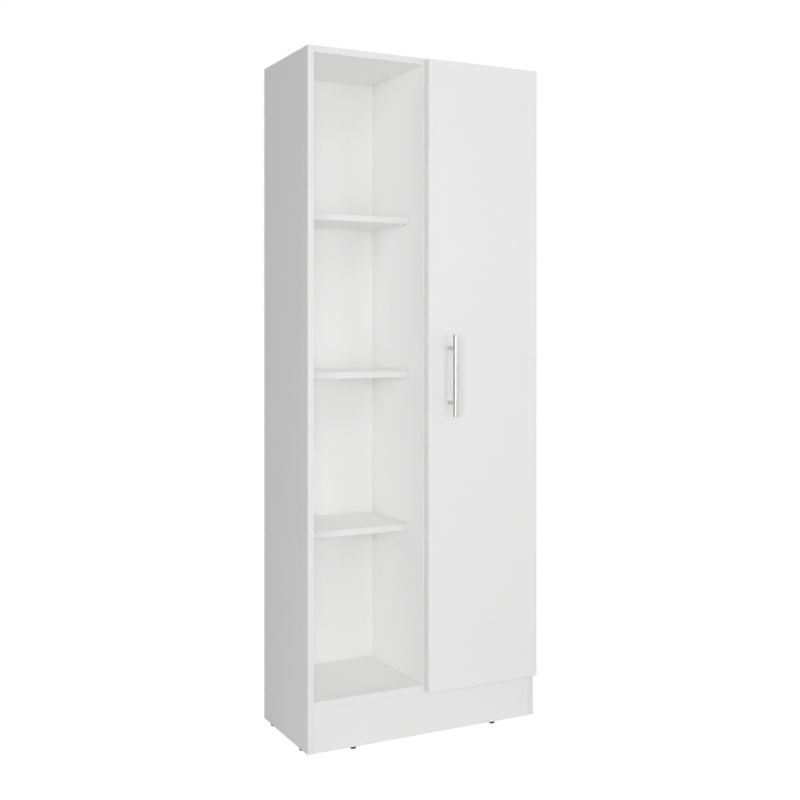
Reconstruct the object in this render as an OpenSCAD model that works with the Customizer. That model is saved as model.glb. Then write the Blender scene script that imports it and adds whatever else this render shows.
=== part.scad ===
// Pantry cupboard: an open bay of four compartments beside a cupboard bay behind one tall door.
// Millimetres. Seen from the front, +X is to the right and +Y to the back; +Z is up.
// The floor is at Z = 0 and the origin is the middle of the whole outline, handle included.
// It goes together as flat boards with cam fittings, dowels and a few screws.

/* [Cabinet] */
// Width across the two side panels
cabinet_w = 600; // [540:10:760]
// Height of the boards, from the floor glides' seat to the top
carcass_h = 1585; // [1400:5:1800]
// Depth of the boards, without the back sheets
board_depth = 275; // [255:5:400]
// Thickness of every board
board_t = 15; // [15:0.5:18]
// Thickness of the back sheets
back_t = 3; // [2.5:0.5:4]
// How far the back sheets' edges stay inside the cabinet's outline
back_margin = 1; // [0.5:0.5:3]
// Height of the plinth board
plinth_h = 100; // [85:5:140]
// Width of the bevel that eases the edges that a hand can touch
arris = 0.5; // [0.3:0.1:1]

/* [Shelves] */
// How far the shelves' front edges stand back from the cabinet's front
shelf_setback = 70; // [40:5:100]
// Space at the ends and back of a shelf that rests on pegs
shelf_play = 0.5; // [0.3:0.1:1.5]
// Distance from a shelf's front or back edge to its pegs in the open bay
open_peg_inset = 30; // [20:5:40]
// Distance from a shelf's front or back edge to its pegs in the cupboard bay
inner_peg_inset = 55; // [50:5:70]
// Diameter of a shelf peg
peg_d = 5; // [4:0.5:6]
// Step between the peg holes that let an inner shelf be moved
peg_step = 32; // [20:4:48]

/* [Door] */
// Gap between the door and the cabinet's front
door_gap = 2.5; // [2.5:0.1:3.5]
// How far the door's hinge edge stays inside the cabinet's outer face
door_side_reveal = 1; // [0.5:0.5:2]
// How far the door laps over the divider's edge
door_lap = 8.5; // [6:0.5:12]
// How far the door's top edge stays below the cabinet's top
door_top_reveal = 3; // [1:0.5:6]
// Distance from the door's top or bottom edge to its end hinges
hinge_end_inset = 100; // [80:5:140]
// How far the middle hinge stands above the middle shelf
middle_hinge_rise = 92; // [70:2:130]

/* [Handle] */
// Distance between the handle's posts
handle_centres = 128; // [96:32:192]
// Length of the handle's bar
handle_length = 192; // [160:4:280]
// Diameter of the handle's bar
handle_bar_d = 12; // [10:1:14]
// Diameter of the handle's posts
handle_post_d = 10; // [7:0.5:10]
// Distance from the door's face to the middle of the bar
handle_projection = 30; // [26:1:40]
// Distance from the door's free edge to the handle
handle_inset = 54; // [35:1:90]

/* [Glides] */
// Diameter of a floor glide
glide_d = 14; // [12:1:15]
// Height of a floor glide
glide_h = 6; // [4:0.5:8]
// Distance from the cabinet's side to the glides under the plinth board
plinth_glide_inset = 115; // [60:5:180]
// Distance from the cabinet's front to the front glides of a side panel
side_glide_front = 50; // [40:2:90]
// Distance from a side panel's back edge to its rear glide
side_glide_rear = 44; // [24:2:60]

/* [Fittings] */
// Diameter of a cam lock's bore
cam_bore_d = 15; // [12:0.5:16]
// Depth of a cam lock's bore
cam_bore_depth = 12.5; // [11:0.5:13]
// Distance from a board's end to its cam locks
cam_reach = 24; // [20:1:34]
// Diameter of a cam bolt's thread
cam_bolt_thread_d = 5; // [4:0.5:6]
// Length of a cam bolt's thread
cam_bolt_thread_length = 11; // [8:0.5:11]
// Distance from a board's front or back edge to its cam fittings
cam_inset = 50; // [40:2:60]
// Distance from a cam fitting to the dowel beside it
dowel_offset = 32; // [22:2:40]
// Diameter of a wooden dowel
dowel_d = 8; // [6:1:8]
// Length of a wooden dowel
dowel_length = 29; // [24:1:34]
// How far a dowel stands in the face of a board
dowel_in_face = 10; // [7:0.5:11]
// Length of the screws that hold the divider from below
divider_screw_length = 50; // [40:5:60]
// Length of a back sheet nail
nail_length = 20; // [14:1:25]
// Number of nails along an upright board's back edge
nail_rows = 7; // [4:1:9]

/* [Clearances] */
// Space round a turned piece in its hole, on the radius
hole_clearance = 0.05; // [0.03:0.01:0.1]
// Space at the blind end of a hole
end_clearance = 0.5; // [0.3:0.1:1]

/* [Hidden] */
$fn = 48;

// Boards, from the driving sizes
base_z = glide_h;
top_z = base_z + carcass_h;
top_under_z = top_z - board_t;
bottom_z = base_z + plinth_h;
bottom_top_z = bottom_z + board_t;
handle_reach = door_gap + board_t + handle_projection + handle_bar_d / 2;
carcass_d = board_depth + back_t;
front_y = (handle_reach - carcass_d) / 2;
rear_y = front_y + board_depth;
left_x = -cabinet_w / 2;
right_x = cabinet_w / 2;
left_inner_x = left_x + board_t;
right_inner_x = right_x - board_t;
divider_left_x = -board_t / 2;
divider_right_x = board_t / 2;
bay_w = divider_left_x - left_inner_x;
divider_h = top_under_z - bottom_top_z;

// Shelves: the same three heights in both bays, with equal clear spaces between them
shelf_count = 3;
clear_h = (divider_h - shelf_count * board_t) / (shelf_count + 1);
function shelf_z(level) = bottom_top_z + level * clear_h + (level - 1) * board_t;
shelf_front_y = front_y + shelf_setback;
fixed_level = 2;
peg_levels = [1, 3];

// Door
door_back_y = front_y - door_gap;
door_front_y = door_back_y - board_t;
door_left_x = divider_right_x - door_lap;
door_right_x = right_x - door_side_reveal;
door_w = door_right_x - door_left_x;
door_z0 = bottom_z;
door_z1 = top_z - door_top_reveal;
handle_x = door_left_x + handle_inset;
handle_z = (door_z0 + door_z1) / 2;
handle_y = door_front_y - handle_projection;

// Cam fittings stand at the middle of a board's thickness. A joint is [place, turn]: the place is
// on the face where the boards meet, and the turn takes +X into the board that holds the cam and
// +Z to the side that the cam goes in from.
front_cam_y = front_y + cam_inset;
rear_cam_y = rear_y - cam_inset;
cam_ys = [front_cam_y, rear_cam_y];
shelf_cam_ys = [shelf_front_y + cam_inset, rear_cam_y];
right_from_below = [180, 0, 0];
left_from_below = [0, 180, 0];
right_from_behind = [-90, 0, 0];
left_from_behind = [90, 0, 180];
down_from_right = [0, 90, 0];
down_from_left = [0, 90, 180];
fixed_shelf_mid_z = shelf_z(fixed_level) + board_t / 2;
plinth_mid_y = front_y + board_t / 2;
plinth_mid_z = base_z + plinth_h / 2;
bottom_mid_z = bottom_z + board_t / 2;
left_mid_x = left_x + board_t / 2;
right_mid_x = right_x - board_t / 2;

TOP_LEFT = [for (y = cam_ys) [[left_mid_x, y, top_under_z], down_from_right]];
TOP_RIGHT = [for (y = cam_ys) [[right_mid_x, y, top_under_z], down_from_left]];
TOP_DIVIDER = [for (y = cam_ys) [[0, y, top_under_z], down_from_right]];
BOTTOM_LEFT = [for (y = cam_ys) [[left_inner_x, y, bottom_mid_z], right_from_below]];
BOTTOM_RIGHT = [for (y = cam_ys) [[right_inner_x, y, bottom_mid_z], left_from_below]];
PLINTH_LEFT = [[[left_inner_x, plinth_mid_y, plinth_mid_z], right_from_behind]];
PLINTH_RIGHT = [[[right_inner_x, plinth_mid_y, plinth_mid_z], left_from_behind]];
OPEN_SHELF_LEFT = [for (y = shelf_cam_ys) [[left_inner_x, y, fixed_shelf_mid_z], right_from_below]];
OPEN_SHELF_RIGHT = [for (y = shelf_cam_ys) [[divider_left_x, y, fixed_shelf_mid_z], left_from_below]];
INNER_SHELF_LEFT = [for (y = shelf_cam_ys) [[divider_right_x, y, fixed_shelf_mid_z], right_from_below]];
INNER_SHELF_RIGHT = [for (y = shelf_cam_ys) [[right_inner_x, y, fixed_shelf_mid_z], left_from_below]];
HIDDEN_CAMS = concat(BOTTOM_LEFT, BOTTOM_RIGHT, PLINTH_LEFT, PLINTH_RIGHT);
CAPPED_CAMS = concat(TOP_LEFT, TOP_RIGHT, TOP_DIVIDER, OPEN_SHELF_LEFT, OPEN_SHELF_RIGHT,
                     INNER_SHELF_LEFT, INNER_SHELF_RIGHT);
SINGLE_BOLTS = concat(HIDDEN_CAMS, TOP_LEFT, TOP_RIGHT, TOP_DIVIDER, OPEN_SHELF_LEFT,
                      INNER_SHELF_RIGHT);

// A dowel is [place, turn]: the place is where the boards meet, and the turn takes +X into the
// board whose end it enters
to_right = [0, 0, 0];
to_left = [0, 0, 180];
down = [0, 90, 0];
up = [0, -90, 0];
dowel_ys = [front_cam_y + dowel_offset, rear_cam_y - dowel_offset];
plinth_dowel_z = plinth_mid_z + dowel_offset;
plinth_top_dowel_x = bay_w / 2;
function top_dowels(x) = [for (y = dowel_ys) [[x, y, top_under_z], down]];
TOP_DOWELS = concat(top_dowels(left_mid_x), top_dowels(0), top_dowels(right_mid_x));
DIVIDER_DOWELS = [for (y = dowel_ys) [[0, y, bottom_top_z], up]];
BOTTOM_LEFT_DOWELS = [for (y = dowel_ys) [[left_inner_x, y, bottom_mid_z], to_right]];
BOTTOM_RIGHT_DOWELS = [for (y = dowel_ys) [[right_inner_x, y, bottom_mid_z], to_left]];
PLINTH_LEFT_DOWELS = [[[left_inner_x, plinth_mid_y, plinth_dowel_z], to_right]];
PLINTH_RIGHT_DOWELS = [[[right_inner_x, plinth_mid_y, plinth_dowel_z], to_left]];
PLINTH_TOP_DOWELS = [for (x = [-plinth_top_dowel_x, plinth_top_dowel_x])
                     [[x, plinth_mid_y, bottom_z], down]];
ALL_DOWELS = concat(TOP_DOWELS, DIVIDER_DOWELS, BOTTOM_LEFT_DOWELS, BOTTOM_RIGHT_DOWELS,
                    PLINTH_LEFT_DOWELS, PLINTH_RIGHT_DOWELS, PLINTH_TOP_DOWELS);

// Back sheets meet behind the divider
sheet_z0 = base_z + back_margin;
sheet_h = carcass_h - 2 * back_margin;
sheet_w = cabinet_w / 2 - back_margin - end_clearance / 2;
nail_d = 1.6;
nail_head_d = 4;
nail_head_h = 0.8;
nail_end_inset = 60;
left_sheet_x = left_x + back_margin;
right_sheet_x = end_clearance / 2;
function spaced(low, high, count) =
    [for (i = [0 : count - 1]) low + nail_end_inset
     + i * (high - low - 2 * nail_end_inset) / (count - 1)];
SIDE_NAILS_LEFT = [for (z = spaced(base_z, top_z, nail_rows)) [left_mid_x, z]];
SIDE_NAILS_RIGHT = [for (z = spaced(base_z, top_z, nail_rows)) [right_mid_x, z]];
DIVIDER_NAILS = [for (z = spaced(bottom_top_z, top_under_z, nail_rows), side = [-1, 1])
                 [side * board_t / 4, z]];
CROSS_NAIL_XS = [for (side = [-1, 1], share = [1 / 4, 3 / 4]) side * share * cabinet_w / 2];
TOP_NAILS = [for (x = CROSS_NAIL_XS) [x, top_z - board_t / 2]];
BOTTOM_NAILS = [for (x = CROSS_NAIL_XS) [x, bottom_mid_z]];
ALL_NAILS = concat(SIDE_NAILS_LEFT, SIDE_NAILS_RIGHT, DIVIDER_NAILS, TOP_NAILS, BOTTOM_NAILS);

// Shelf pegs: a peg is [place, turn, levels it may be set at]; the place is on the panel's face at
// the underside of the shelf, and the turn takes +X out of the panel
peg_in_panel = 6;
peg_hole_depth = peg_in_panel + end_clearance;
peg_block_out = 9;
peg_block_w = 8;
peg_block_h = peg_d;
function peg_ys(inset) = [shelf_front_y + inset, rear_y - inset];
OPEN_PEGS_LEFT = [for (level = peg_levels, y = peg_ys(open_peg_inset))
                  [[left_inner_x, y, shelf_z(level)], to_right]];
OPEN_PEGS_RIGHT = [for (level = peg_levels, y = peg_ys(open_peg_inset))
                   [[divider_left_x, y, shelf_z(level)], to_left]];
INNER_PEGS_LEFT = [for (level = peg_levels, y = peg_ys(inner_peg_inset))
                   [[divider_right_x, y, shelf_z(level)], to_right]];
INNER_PEGS_RIGHT = [for (level = peg_levels, y = peg_ys(inner_peg_inset))
                    [[right_inner_x, y, shelf_z(level)], to_left]];
ALL_PEGS = concat(OPEN_PEGS_LEFT, OPEN_PEGS_RIGHT, INNER_PEGS_LEFT, INNER_PEGS_RIGHT);
fixed_peg_steps = [0];
moving_peg_steps = [-1, 0, 1];

// Floor glides: a glide is the place of its nail on the underside of a board
glide_nail_d = 2;
glide_nail_up = 16;
glide_foot_bevel = 1.5;
glide_top_bevel = 0.6;
PLINTH_GLIDES = [for (side = [-1, 1])
                 [side * (cabinet_w / 2 - plinth_glide_inset), plinth_mid_y, base_z]];
side_glide_ys = [front_y + side_glide_front, rear_y - side_glide_rear];
LEFT_GLIDES = [for (y = side_glide_ys) [left_mid_x, y, base_z]];
RIGHT_GLIDES = [for (y = side_glide_ys) [right_mid_x, y, base_z]];
ALL_GLIDES = concat(PLINTH_GLIDES, LEFT_GLIDES, RIGHT_GLIDES);

// Cam fittings
cam_d = cam_bore_d - 2 * hole_clearance;
cam_h = cam_bore_depth - end_clearance;
cam_slot_w = 2;
cam_slot_deep = 2.5;
cam_pocket_d = 8.4;
cam_cap_lap = 1.5;
cam_cap_d = cam_bore_d + 2 * cam_cap_lap;
cam_cap_h = 1.2;
bolt_shank_d = 6;
bolt_neck_d = 4;
bolt_neck_length = 4;
bolt_head_d = 6.8;
bolt_head_length = 3;
end_bore_d = 8;

// Divider screws
divider_screw_d = 5;
divider_screw_shank_d = 7;
divider_screw_head_d = 10;
divider_screw_head_h = 2;
divider_key_d = 4;
divider_key_deep = 1.6;
divider_screw_ys = cam_ys;

// Door bumpers stand on the top and bottom panels' front edges, near the door's free edge
bumper_d = 8;
bumper_clear = 0.3;
bumper_h = door_gap - bumper_clear;
bumper_inset = 16;
bumper_x = divider_right_x + bumper_inset;
bumper_zs = [bottom_mid_z, top_z - board_t / 2];

// Handle
handle_zs = [handle_z - handle_centres / 2, handle_z + handle_centres / 2];
handle_chamfer = 0.8;
post_spigot_d = 5;
post_spigot_deep = 3;
handle_screw_d = 4;
handle_screw_play = 0.25;
handle_screw_in_post = 10;
handle_screw_head_d = 8;
handle_screw_head_h = 2.2;

// Hinges are drawn from the corner where the right side panel's inner face meets its front edge.
// The arm's pivots and the links' bends are [x, y] from there, with the door closed; a depth is
// measured into the door from its back face.
HINGE_ZS = [door_z0 + hinge_end_inset, shelf_z(fixed_level) + board_t / 2 + middle_hinge_rise,
            door_z1 - hinge_end_inset];
arm_outer_x = -23.5;
arm_outer_y = 7.6;
arm_inner_x = -22.7;
arm_inner_y = 1.4;
cup_outer_x = 1.7;
cup_outer_deep = 2.3;
cup_inner_x = 2.2;
cup_inner_deep = 7.7;
outer_bend_x = -5.33;
outer_bend_deep = 3.86;
inner_bend_x = -9.04;
inner_bend_deep = 7.1;
slot_rear_x = -24.08;
slot_rear_y = 2.4;
slot_front_x = -21.32;
slot_front_y = 0.18;
arm_outer_pivot = [arm_outer_x, arm_outer_y];
arm_inner_pivot = [arm_inner_x, arm_inner_y];
cup_outer_pivot = [cup_outer_x, -door_gap - cup_outer_deep];
cup_inner_pivot = [cup_inner_x, -door_gap - cup_inner_deep];
outer_bend = [outer_bend_x, -door_gap - outer_bend_deep];
inner_bend = [inner_bend_x, -door_gap - inner_bend_deep];
link_slot = [[slot_rear_x, slot_rear_y], [slot_front_x, slot_front_y]];
link_slot_w = 3.1;
pin_d = 2.2;
eye_d = 4.2;
slot_eye_d = 4.7;
link_w = 3;
inner_link_half = 3;
arm_nose_half = 4.6;
outer_link_in = 5;
outer_link_half = 6.2;
cheek_in = 6.6;
cheek_half = 9.2;
cheek_from_x = -2;
sheet = 1.2;
arm_face_x = -30.5;
arm_nose_x = -20.6;
arm_nose_y = -0.6;
arm_body_y = 22;
arm_end_y = 62;
arm_body_half = 7;
arm_body_x = -12;
arm_front_slope = 7;
arm_rear_slope = 13;
arm_rear_lip = 6;
arm_nose_bevel = 0.9;
rib_y = [31, 58];
rib_half = arm_body_half - sheet;
rib_foot = 3;
plate_t = 2.5;
plate_body_w = 20;
plate_body_half = 10.5;
plate_neck_w = 12;
plate_ear_d = 14;
plate_screw_y = 38;
plate_screw_z = 16;
plate_screw_d = 5;
plate_screw_in = 11;
plate_screw_head_d = 8.5;
plate_screw_head_h = 1.4;
arm_screw_ys = [36, 53];
arm_screw_d = 4;
arm_screw_head_d = 7.5;
arm_screw_head_h = 2;
arm_screw_length = 12;
cup_d = 35;
cup_edge_wall = 3.5;
cup_x = board_t - door_side_reveal - cup_edge_wall - cup_d / 2;
cup_wall = 1;
cup_deep = 11.5;
flange_t = 1;
flange_d = 37;
flange_w = 11;
cup_screw_offset = 9.5;
cup_screw_x = cup_x - cup_screw_offset;
cup_screw_z = 22.5;
cup_screw_d = 3.5;
cup_screw_in = 10.5;
cup_screw_head_d = 7;
cup_screw_head_h = 1.2;
cross_half = 1 / 3;
cross_w = 1 / 7;
rim_notch_x = cup_x - cup_d / 2 + cup_wall;

// Colours
board_white = [0.93, 0.93, 0.93];
plastic_white = [0.97, 0.97, 0.96];
steel = [0.76, 0.77, 0.78];
zinc = [0.66, 0.67, 0.69];
beech = [0.80, 0.66, 0.47];
glide_grey = [0.30, 0.31, 0.33];

// How far a cut reaches past the surface that it starts from
over = 1;

// Sub-parts, and the one to draw

// Puts the children, drawn about +X and +Z, at a [place, turn]
module at(joint) translate(joint[0]) rotate(joint[1]) children();

// A cylinder along X from one station to another
module rod_x(d, from, to) translate([from, 0, 0]) rotate([0, 90, 0]) cylinder(d = d, h = to - from);

// Holes for a cam fitting: in the board that the bolt is screwed into, and in the cam's board
module bolt_hole()
    rod_x(cam_bolt_thread_d + 2 * hole_clearance, -cam_bolt_thread_length - end_clearance, over);

module through_bolt_hole()
    rod_x(cam_bolt_thread_d + 2 * hole_clearance, -board_t - over, over);

module cam_bores() {
    rod_x(end_bore_d, -over, cam_reach);
    translate([cam_reach, 0, board_t / 2 - cam_bore_depth])
        cylinder(d = cam_bore_d, h = cam_bore_depth + over);
}

// Holes for a dowel: in the face of one board and in the end of the other
module dowel_face_hole()
    rod_x(dowel_d + 2 * hole_clearance, -dowel_in_face - end_clearance, over);

module dowel_end_hole()
    rod_x(dowel_d + 2 * hole_clearance, -over, dowel_length - dowel_in_face + end_clearance);

// Holes for shelf pegs, at the given numbers of steps from where the shelf stands
module peg_holes(steps)
    for (n = steps) translate([0, 0, n * peg_step - peg_d / 2])
        rod_x(peg_d + 2 * hole_clearance, -peg_hole_depth, over);

// A nail's outline behind the cabinet, wider by a clearance for its hole
module nail_form(place, wider) {
    translate([place[0], rear_y + back_t, place[1]]) rotate([90, 0, 0]) {
        translate([0, 0, wider > 0 ? -over : 0])
            cylinder(d = nail_head_d + 2 * wider, h = nail_head_h + (wider > 0 ? over : 0));
        cylinder(d = nail_d + 2 * wider, h = nail_length + (wider > 0 ? end_clearance : 0));
    }
}

module nail_hole(place) nail_form(place, hole_clearance);

// The hole that a glide's nail leaves in the underside of a board
module glide_nail_hole(place) translate(place) translate([0, 0, -over])
    cylinder(d = glide_nail_d + 2 * hole_clearance, h = glide_nail_up + over + end_clearance);

// Holes that the divider's screws leave in the bottom panel and in the divider
module divider_screw_holes() for (y = divider_screw_ys) translate([0, y, bottom_z]) {
    translate([0, 0, -over])
        cylinder(d = divider_screw_head_d + 2 * hole_clearance, h = divider_screw_head_h + over);
    cylinder(d = divider_screw_shank_d + 2 * hole_clearance, h = board_t);
    cylinder(d = divider_screw_d + 2 * hole_clearance, h = divider_screw_length + end_clearance);
}

// A board's section with the marked corners bevelled, in the order low-low, high-low, high-high,
// low-high
function eased(w, h, marks) = concat(
    marks[0] ? [[0, arris], [arris, 0]] : [[0, 0]],
    marks[1] ? [[w - arris, 0], [w, arris]] : [[w, 0]],
    marks[2] ? [[w, h - arris], [w - arris, h]] : [[w, h]],
    marks[3] ? [[arris, h], [0, h - arris]] : [[0, h]]);

// Board forms from the low corner: the section runs up Z, along X, or from back to front
module upright_form(size, marks) linear_extrude(size[2]) polygon(eased(size[0], size[1], marks));

module lying_form(size, marks) rotate([90, 0, 90])
    linear_extrude(size[0]) polygon(eased(size[1], size[2], marks));

module end_form(size, marks) translate([0, size[1], 0]) rotate([90, 0, 0])
    linear_extrude(size[1]) polygon(eased(size[0], size[2], marks));

// Boards with the front edge eased, and with the children cut out of them
module upright_board(corner, size) color(board_white) difference() {
    translate(corner) upright_form(size, [true, true, false, false]);
    children();
}

module lying_board(corner, size) color(board_white) difference() {
    translate(corner) lying_form(size, [true, false, false, true]);
    children();
}

module left_side_panel()
    upright_board([left_x, front_y, base_z], [board_t, board_depth, top_under_z - base_z]) {
        for (j = TOP_LEFT) at(j) cam_bores();
        for (j = concat(BOTTOM_LEFT, PLINTH_LEFT, OPEN_SHELF_LEFT)) at(j) bolt_hole();
        for (d = top_dowels(left_mid_x)) at(d) dowel_end_hole();
        for (d = concat(BOTTOM_LEFT_DOWELS, PLINTH_LEFT_DOWELS)) at(d) dowel_face_hole();
        for (p = OPEN_PEGS_LEFT) at(p) peg_holes(fixed_peg_steps);
        for (n = SIDE_NAILS_LEFT) nail_hole(n);
        for (g = LEFT_GLIDES) glide_nail_hole(g);
    }

module right_side_panel()
    upright_board([right_inner_x, front_y, base_z], [board_t, board_depth, top_under_z - base_z]) {
        for (j = TOP_RIGHT) at(j) cam_bores();
        for (j = concat(BOTTOM_RIGHT, PLINTH_RIGHT, INNER_SHELF_RIGHT)) at(j) bolt_hole();
        for (d = top_dowels(right_mid_x)) at(d) dowel_end_hole();
        for (d = concat(BOTTOM_RIGHT_DOWELS, PLINTH_RIGHT_DOWELS)) at(d) dowel_face_hole();
        for (p = INNER_PEGS_RIGHT) at(p) peg_holes(moving_peg_steps);
        for (n = SIDE_NAILS_RIGHT) nail_hole(n);
        for (g = RIGHT_GLIDES) glide_nail_hole(g);
        for (z = HINGE_ZS) plate_screw_holes(z);
    }

// The top panel lies over the side panels, so its ends are eased along the top as well
module top_panel() color(board_white) difference() {
    translate([left_x, front_y, top_under_z]) intersection() {
        lying_form([cabinet_w, board_depth, board_t], [true, false, false, true]);
        end_form([cabinet_w, board_depth, board_t], [false, false, true, true]);
    }
    for (j = concat(TOP_LEFT, TOP_RIGHT, TOP_DIVIDER)) at(j) bolt_hole();
    for (d = TOP_DOWELS) at(d) dowel_face_hole();
    for (n = TOP_NAILS) nail_hole(n);
}

module bottom_panel()
    lying_board([left_inner_x, front_y, bottom_z],
                [cabinet_w - 2 * board_t, board_depth, board_t]) {
        for (j = concat(BOTTOM_LEFT, BOTTOM_RIGHT)) at(j) cam_bores();
        for (d = concat(BOTTOM_LEFT_DOWELS, BOTTOM_RIGHT_DOWELS)) at(d) dowel_end_hole();
        for (d = concat(DIVIDER_DOWELS, PLINTH_TOP_DOWELS)) at(d) dowel_face_hole();
        for (n = BOTTOM_NAILS) nail_hole(n);
        divider_screw_holes();
    }

module divider_panel()
    upright_board([divider_left_x, front_y, bottom_top_z], [board_t, board_depth, divider_h]) {
        for (j = TOP_DIVIDER) at(j) cam_bores();
        for (j = OPEN_SHELF_RIGHT) at(j) through_bolt_hole();
        for (d = concat(top_dowels(0), DIVIDER_DOWELS)) at(d) dowel_end_hole();
        for (p = OPEN_PEGS_RIGHT) at(p) peg_holes(fixed_peg_steps);
        for (p = INNER_PEGS_LEFT) at(p) peg_holes(moving_peg_steps);
        for (n = DIVIDER_NAILS) nail_hole(n);
        divider_screw_holes();
    }

module plinth_board()
    lying_board([left_inner_x, front_y, base_z], [cabinet_w - 2 * board_t, board_t, plinth_h]) {
        for (j = concat(PLINTH_LEFT, PLINTH_RIGHT)) at(j) cam_bores();
        for (d = concat(PLINTH_LEFT_DOWELS, PLINTH_RIGHT_DOWELS, PLINTH_TOP_DOWELS))
            at(d) dowel_end_hole();
        for (g = PLINTH_GLIDES) glide_nail_hole(g);
    }

// A shelf from one panel's face to another's; a fixed one fits between them, others have play
module shelf(level, from_x, to_x, joints) {
    play = level == fixed_level ? 0 : shelf_play;
    lying_board([from_x + play, shelf_front_y, shelf_z(level)],
                [to_x - from_x - 2 * play, rear_y - shelf_play - shelf_front_y, board_t])
        if (level == fixed_level) for (j = joints) at(j) cam_bores();
}

module open_shelf(level)
    shelf(level, left_inner_x, divider_left_x, concat(OPEN_SHELF_LEFT, OPEN_SHELF_RIGHT));

module inner_shelf(level)
    shelf(level, divider_right_x, right_inner_x, concat(INNER_SHELF_LEFT, INNER_SHELF_RIGHT));

module open_shelf_lower() open_shelf(1);
module open_shelf_middle() open_shelf(2);
module open_shelf_upper() open_shelf(3);
module inner_shelf_lower() inner_shelf(1);
module inner_shelf_middle() inner_shelf(2);
module inner_shelf_upper() inner_shelf(3);

// A back sheet is nailed to the boards' back edges
module back_sheet(low_x, nails) color(plastic_white) difference() {
    translate([low_x, rear_y, sheet_z0]) cube([sheet_w, back_t, sheet_h]);
    for (n = nails) nail_hole(n);
}

module back_sheet_left() back_sheet(left_sheet_x, [for (n = ALL_NAILS) if (n[0] < 0) n]);
module back_sheet_right() back_sheet(right_sheet_x, [for (n = ALL_NAILS) if (n[0] > 0) n]);

module back_sheet_nails() color(zinc) for (n = ALL_NAILS) nail_form(n, 0);

// A shelf peg: a round stem in the panel and a gusseted block under the shelf
module shelf_peg() {
    translate([0, 0, -peg_d / 2]) rod_x(peg_d, -peg_in_panel, 0);
    translate([0, peg_block_w / 2, 0]) rotate([90, 0, 0]) linear_extrude(peg_block_w)
        polygon([[0, 0], [peg_block_out, 0], [peg_block_out, -peg_block_h / 3],
                 [peg_block_out / 3, -peg_block_h], [0, -peg_block_h]]);
}

module shelf_pegs() color(plastic_white) for (p = ALL_PEGS) at(p) shelf_peg();

// A cam lock: a drum with a pocket for the bolt's head and a cross for the screwdriver
module cam_lock() translate([cam_reach, 0, 0]) difference() {
    translate([0, 0, board_t / 2 - cam_bore_depth]) cylinder(d = cam_d, h = cam_h);
    rod_x(cam_pocket_d, -cam_d, cam_d / 4);
    for (turn = [45, 135]) rotate([0, 0, turn])
        translate([-cam_d / 3, -cam_slot_w / 2, board_t / 2 - cam_slot_deep])
            cube([2 * cam_d / 3, cam_slot_w, cam_slot_deep + over]);
}

module cam_locks() color(zinc) for (j = concat(HIDDEN_CAMS, CAPPED_CAMS)) at(j) cam_lock();

// The part of a bolt that stands in the cam's board: shank, neck and head
module bolt_stem() {
    head_from = cam_reach - bolt_head_length / 2;
    neck_from = head_from - bolt_neck_length;
    rod_x(bolt_shank_d, 0, neck_from);
    rod_x(bolt_neck_d, neck_from, head_from);
    rod_x(bolt_head_d, head_from, head_from + bolt_head_length);
}

module cam_bolts() color(steel) for (j = SINGLE_BOLTS) at(j) union() {
    bolt_stem();
    rod_x(cam_bolt_thread_d, -cam_bolt_thread_length, 0);
}

// Through the divider, a bolt with two heads holds a fixed shelf at each end
module double_ended_bolts() color(steel) for (j = OPEN_SHELF_RIGHT) at(j) union() {
    bolt_stem();
    rod_x(cam_bolt_thread_d, -board_t, 0);
    translate([-board_t, 0, 0]) rotate([0, 180, 0]) bolt_stem();
}

// Cover caps lie over the cams that show inside the compartments
module cam_caps() color(plastic_white) for (j = CAPPED_CAMS) at(j)
    translate([cam_reach, 0, board_t / 2]) rotate_extrude()
        polygon([[0, 0], [cam_cap_d / 2, 0], [cam_cap_d / 2, cam_cap_h / 2],
                 [cam_cap_d / 2 - cam_cap_h, cam_cap_h], [0, cam_cap_h]]);

module wooden_dowels() color(beech) for (d = ALL_DOWELS) at(d)
    rod_x(dowel_d, -dowel_in_face, dowel_length - dowel_in_face);

module divider_screws() color(zinc) for (y = divider_screw_ys) translate([0, y, bottom_z]) {
    difference() {
        cylinder(d = divider_screw_head_d, h = divider_screw_head_h);
        translate([0, 0, -over]) cylinder(d = divider_key_d, h = over + divider_key_deep, $fn = 6);
    }
    translate([0, 0, divider_screw_head_h])
        cylinder(d = divider_screw_shank_d, h = board_t - divider_screw_head_h);
    translate([0, 0, board_t])
        cylinder(d = divider_screw_d, h = divider_screw_length - board_t);
}

// A floor glide is a round foot, moulded on a nail that is driven up into a board
module floor_glides() color(glide_grey) for (g = ALL_GLIDES) translate(g) difference() {
    rotate_extrude() polygon([[0, -glide_h], [glide_d / 2 - glide_foot_bevel, -glide_h],
                              [glide_d / 2, -glide_h + glide_foot_bevel],
                              [glide_d / 2, -glide_top_bevel],
                              [glide_d / 2 - glide_top_bevel, 0], [0, 0]]);
    translate([0, 0, -glide_h / 2])
        cylinder(d = glide_nail_d + 2 * hole_clearance, h = glide_h / 2 + over);
}

module glide_nails() color(zinc) for (g = ALL_GLIDES) translate(g) translate([0, 0, -glide_h / 2])
    cylinder(d = glide_nail_d, h = glide_h / 2 + glide_nail_up);

module door_bumpers() color(plastic_white) for (z = bumper_zs)
    translate([bumper_x, front_y, z]) rotate([90, 0, 0]) rotate_extrude()
        polygon([[0, 0], [bumper_d / 2, 0], [bumper_d / 2, bumper_h / 2],
                 [bumper_d / 2 - bumper_h / 2, bumper_h], [0, bumper_h]]);

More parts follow.
